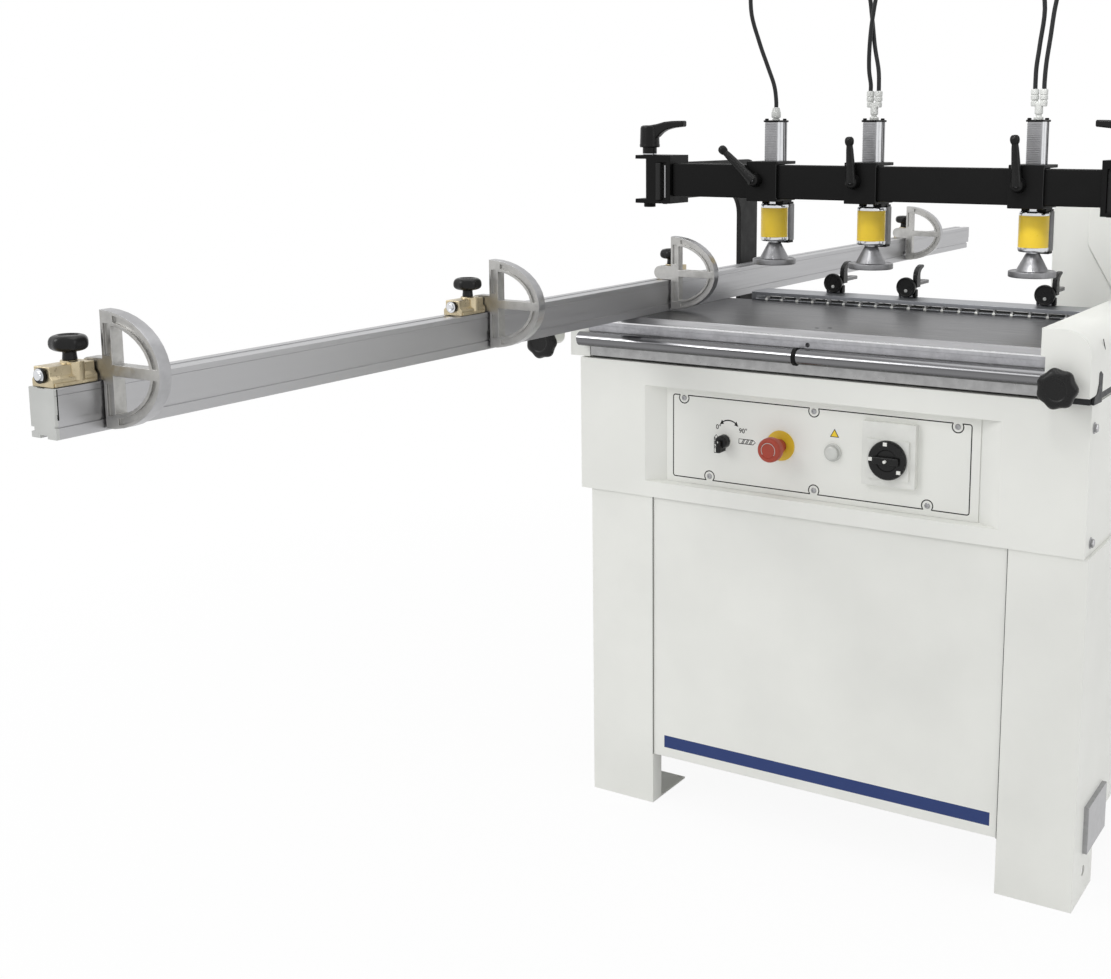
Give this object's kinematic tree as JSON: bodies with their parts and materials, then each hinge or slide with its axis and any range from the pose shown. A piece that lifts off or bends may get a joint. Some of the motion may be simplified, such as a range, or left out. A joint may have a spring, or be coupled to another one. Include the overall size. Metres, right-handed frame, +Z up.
{
  "type": "dowel boring machine",
  "caption": "Cabinet boring machine for dowel holes: ground table, tilting multi-spindle head, air press units on a beam, and a long fence bar with flip stops.",
  "frame": {"origin": "middle of the footprint box on the floor, measured without the air hoses", "axes": "+X to the right along the machine's front, +Y from the front to the rear along the fence bar, +Z up"},
  "size_m": [1.0514, 2.954, 1.5869],
  "materials": {
    "white_paint": "satin off-white paint",
    "black_paint": "satin black paint",
    "black_plastic": "moulded black plastic",
    "red_plastic": "glossy red",
    "grey_plastic": "light grey",
    "ground_steel": "ground, dull",
    "bright_steel": "brushed",
    "aluminium": "drawn and cast, satin",
    "brass": "cast and machined",
    "grey_iron": "machined castings",
    "hose_rubber": "black air hose"
  },
  "bodies": {
    "base": {"base_frame": "white_paint", "front_panel": "white_paint", "upper_body": "white_paint", "apron": "white_paint", "control_plate": "white_paint", "table": "ground_steel", "guide_rod": "bright_steel", "front_rail": "bright_steel", "drill_fence": "bright_steel", "stop_rail": "aluminium", "end_casting_right": "white_paint", "end_casting_left": "white_paint", "rear_housing": "white_paint", "press_arm_left": "black_paint", "press_arm_right": "black_paint"},
    "selector": {"selector_knob": "black_plastic"},
    "estop": {"estop_button": "red_plastic"},
    "lamp": {"lamp_button": "grey_plastic"},
    "main_switch": {"main_switch_knob": "black_plastic"},
    "left_knob": {"left_lobe_knob": "black_plastic"},
    "right_knob": {"right_lobe_knob": "black_plastic"},
    "rear_knob": {"rear_lobe_knob": "black_plastic"},
    "fence": {"fence_bar": "aluminium"},
    "beam": {"press_beam": "black_paint", "beam_bracket_left": "black_paint", "beam_bracket_right": "black_paint", "hose_1": "hose_rubber", "hose_2": "hose_rubber", "hose_3": "hose_rubber"},
    "handle_left": {"ratchet_handle_left": "black_plastic"},
    "handle_right": {"ratchet_handle_right": "black_plastic"},
    "carriage": {"head_carriage": "grey_iron"},
    "head": {"boring_head": "grey_iron"},
    "stop_block_1": {"stop_block_1": "brass"},
    "flip_stop_1": {"flip_stop_1": "aluminium"},
    "stop_knob_1": {"stop_knob_1": "black_plastic"},
    "stop_block_2": {"stop_block_2": "brass"},
    "flip_stop_2": {"flip_stop_2": "aluminium"},
    "stop_knob_2": {"stop_knob_2": "black_plastic"},
    "stop_block_3": {"stop_block_3": "brass"},
    "flip_stop_3": {"flip_stop_3": "aluminium"},
    "stop_knob_3": {"stop_knob_3": "black_plastic"},
    "stop_block_4": {"stop_block_4": "brass"},
    "flip_stop_4": {"flip_stop_4": "aluminium"},
    "stop_knob_4": {"stop_knob_4": "black_plastic"},
    "unit_1": {"press_unit_1": "black_paint"},
    "foot_1": {"press_foot_1": "aluminium"},
    "lever_1": {"clamp_lever_1": "black_plastic"},
    "unit_2": {"press_unit_2": "black_paint"},
    "foot_2": {"press_foot_2": "aluminium"},
    "lever_2": {"clamp_lever_2": "black_plastic"},
    "unit_3": {"press_unit_3": "black_paint"},
    "foot_3": {"press_foot_3": "aluminium"},
    "lever_3": {"clamp_lever_3": "black_plastic"},
    "rear_stop_1": {"rear_stop_1": "black_plastic"},
    "stop_bar_1": {"stop_bar_1": "bright_steel"},
    "rear_stop_2": {"rear_stop_2": "black_plastic"},
    "stop_bar_2": {"stop_bar_2": "bright_steel"},
    "rear_stop_3": {"rear_stop_3": "black_plastic"},
    "stop_bar_3": {"stop_bar_3": "bright_steel"}
  },
  "joints": [
    {"name": "selector_turn", "type": "hinge", "parent": "base", "child": "selector", "pos_m": [-0.12875, -0.2683, 0.694], "axis": [0, 1, 0], "range_deg": [0, 90]},
    {"name": "estop_push", "type": "slide", "parent": "base", "child": "estop", "axis": [0, 1, 0], "range_m": [0, 0.005], "stiffness_N_per_m": 1500},
    {"name": "lamp_push", "type": "slide", "parent": "base", "child": "lamp", "axis": [0, 1, 0], "range_m": [0, 0.003], "stiffness_N_per_m": 900},
    {"name": "main_switch_turn", "type": "hinge", "parent": "base", "child": "main_switch", "pos_m": [0.17725, -0.2813, 0.698], "axis": [0, 1, 0], "range_deg": [0, 90]},
    {"name": "left_knob_turn", "type": "hinge", "parent": "base", "child": "left_knob", "pos_m": [-0.48475, -0.283, 0.846], "axis": [0, -1, 0], "range_deg": [-180, 180]},
    {"name": "right_knob_turn", "type": "hinge", "parent": "base", "child": "right_knob", "pos_m": [0.45925, -0.315, 0.8492], "axis": [0, -1, 0], "range_deg": [-180, 180]},
    {"name": "rear_knob_turn", "type": "hinge", "parent": "base", "child": "rear_knob", "pos_m": [0.46125, 0.06, 0.935], "axis": [0, 0, 1], "range_deg": [-180, 180]},
    {"name": "fence_slide", "type": "slide", "parent": "base", "child": "fence", "axis": [1, 0, 0], "range_m": [-0.02, 0.03]},
    {"name": "stop_slide_1", "type": "slide", "parent": "fence", "child": "stop_block_1", "axis": [0, 1, 0], "range_m": [0, 0.35]},
    {"name": "stop_flip_1", "type": "hinge", "parent": "stop_block_1", "child": "flip_stop_1", "pos_m": [-0.31335, -1.411, 0.9686], "axis": [0, -1, 0], "range_deg": [0, 90]},
    {"name": "stop_knob_turn_1", "type": "hinge", "parent": "stop_block_1", "child": "stop_knob_1", "pos_m": [-0.31335, -1.435, 0.981], "axis": [0, 0, 1], "range_deg": [-90, 90]},
    {"name": "stop_slide_2", "type": "slide", "parent": "fence", "child": "stop_block_2", "axis": [0, 1, 0], "range_m": [-0.2, 0.2]},
    {"name": "stop_flip_2", "type": "hinge", "parent": "stop_block_2", "child": "flip_stop_2", "pos_m": [-0.31335, -0.7135, 0.9686], "axis": [0, -1, 0], "range_deg": [0, 90]},
    {"name": "stop_knob_turn_2", "type": "hinge", "parent": "stop_block_2", "child": "stop_knob_2", "pos_m": [-0.31335, -0.7375, 0.981], "axis": [0, 0, 1], "range_deg": [-90, 90]},
    {"name": "stop_slide_3", "type": "slide", "parent": "fence", "child": "stop_block_3", "axis": [0, 1, 0], "range_m": [-0.2, 0.03]},
    {"name": "stop_flip_3", "type": "hinge", "parent": "stop_block_3", "child": "flip_stop_3", "pos_m": [-0.31335, -0.157, 0.9686], "axis": [0, -1, 0], "range_deg": [0, 90]},
    {"name": "stop_knob_turn_3", "type": "hinge", "parent": "stop_block_3", "child": "stop_knob_3", "pos_m": [-0.31335, -0.133, 0.981], "axis": [0, 0, 1], "range_deg": [-90, 90]},
    {"name": "stop_slide_4", "type": "slide", "parent": "fence", "child": "stop_block_4", "axis": [0, 1, 0], "range_m": [-0.25, 0.25]},
    {"name": "stop_flip_4", "type": "hinge", "parent": "stop_block_4", "child": "flip_stop_4", "pos_m": [-0.31335, 1.0075, 0.9686], "axis": [0, -1, 0], "range_deg": [0, 90]},
    {"name": "stop_knob_turn_4", "type": "hinge", "parent": "stop_block_4", "child": "stop_knob_4", "pos_m": [-0.31335, 1.0315, 0.981], "axis": [0, 0, 1], "range_deg": [-90, 90]},
    {"name": "beam_slide", "type": "slide", "parent": "base", "child": "beam", "axis": [0, 1, 0], "range_m": [0, 0.1]},
    {"name": "handle_left_turn", "type": "hinge", "parent": "beam", "child": "handle_left", "pos_m": [-0.39625, -0.069, 1.177], "axis": [0, 0, 1], "range_deg": [-60, 60]},
    {"name": "handle_right_turn", "type": "hinge", "parent": "beam", "child": "handle_right", "pos_m": [0.50675, -0.069, 1.177], "axis": [0, 0, 1], "range_deg": [-60, 60]},
    {"name": "unit_slide_1", "type": "slide", "parent": "beam", "child": "unit_1", "axis": [1, 0, 0], "range_m": [-0.08, 0.07]},
    {"name": "foot_press_1", "type": "slide", "parent": "unit_1", "child": "foot_1", "axis": [0, 0, -1], "range_m": [0, 0.065], "stiffness_N_per_m": 300, "springref_m": -0.04},
    {"name": "lever_turn_1", "type": "hinge", "parent": "unit_1", "child": "lever_1", "pos_m": [-0.16275, -0.091, 1.135], "axis": [0, 1, 0], "range_deg": [-30, 30]},
    {"name": "unit_slide_2", "type": "slide", "parent": "beam", "child": "unit_2", "axis": [1, 0, 0], "range_m": [-0.07, 0.14]},
    {"name": "foot_press_2", "type": "slide", "parent": "unit_2", "child": "foot_2", "axis": [0, 0, -1], "range_m": [0, 0.065], "stiffness_N_per_m": 300, "springref_m": -0.04},
    {"name": "lever_turn_2", "type": "hinge", "parent": "unit_2", "child": "lever_2", "pos_m": [0.02675, -0.091, 1.135], "axis": [0, 1, 0], "range_deg": [-30, 30]},
    {"name": "unit_slide_3", "type": "slide", "parent": "beam", "child": "unit_3", "axis": [1, 0, 0], "range_m": [-0.12, 0.05]},
    {"name": "foot_press_3", "type": "slide", "parent": "unit_3", "child": "foot_3", "axis": [0, 0, -1], "range_m": [0, 0.065], "stiffness_N_per_m": 300, "springref_m": -0.04},
    {"name": "lever_turn_3", "type": "hinge", "parent": "unit_3", "child": "lever_3", "pos_m": [0.31625, -0.091, 1.135], "axis": [0, 1, 0], "range_deg": [-30, 30]},
    {"name": "rear_stop_slide_1", "type": "slide", "parent": "base", "child": "rear_stop_1", "axis": [1, 0, 0], "range_m": [-0.06, 0.06]},
    {"name": "stop_bar_slide_1", "type": "slide", "parent": "rear_stop_1", "child": "stop_bar_1", "axis": [0, 1, 0], "range_m": [-0.06, 0]},
    {"name": "rear_stop_slide_2", "type": "slide", "parent": "base", "child": "rear_stop_2", "axis": [1, 0, 0], "range_m": [-0.06, 0.06]},
    {"name": "stop_bar_slide_2", "type": "slide", "parent": "rear_stop_2", "child": "stop_bar_2", "axis": [0, 1, 0], "range_m": [-0.06, 0]},
    {"name": "rear_stop_slide_3", "type": "slide", "parent": "base", "child": "rear_stop_3", "axis": [1, 0, 0], "range_m": [-0.06, 0.06]},
    {"name": "stop_bar_slide_3", "type": "slide", "parent": "rear_stop_3", "child": "stop_bar_3", "axis": [0, 1, 0], "range_m": [-0.06, 0]},
    {"name": "head_tilt", "type": "hinge", "parent": "base", "child": "carriage", "pos_m": [0.08975, 0.18, 0.86], "axis": [1, 0, 0], "range_deg": [0, 90]},
    {"name": "head_feed", "type": "slide", "parent": "carriage", "child": "head", "axis": [0, 0, 1], "range_m": [0, 0.1]}
  ]
}
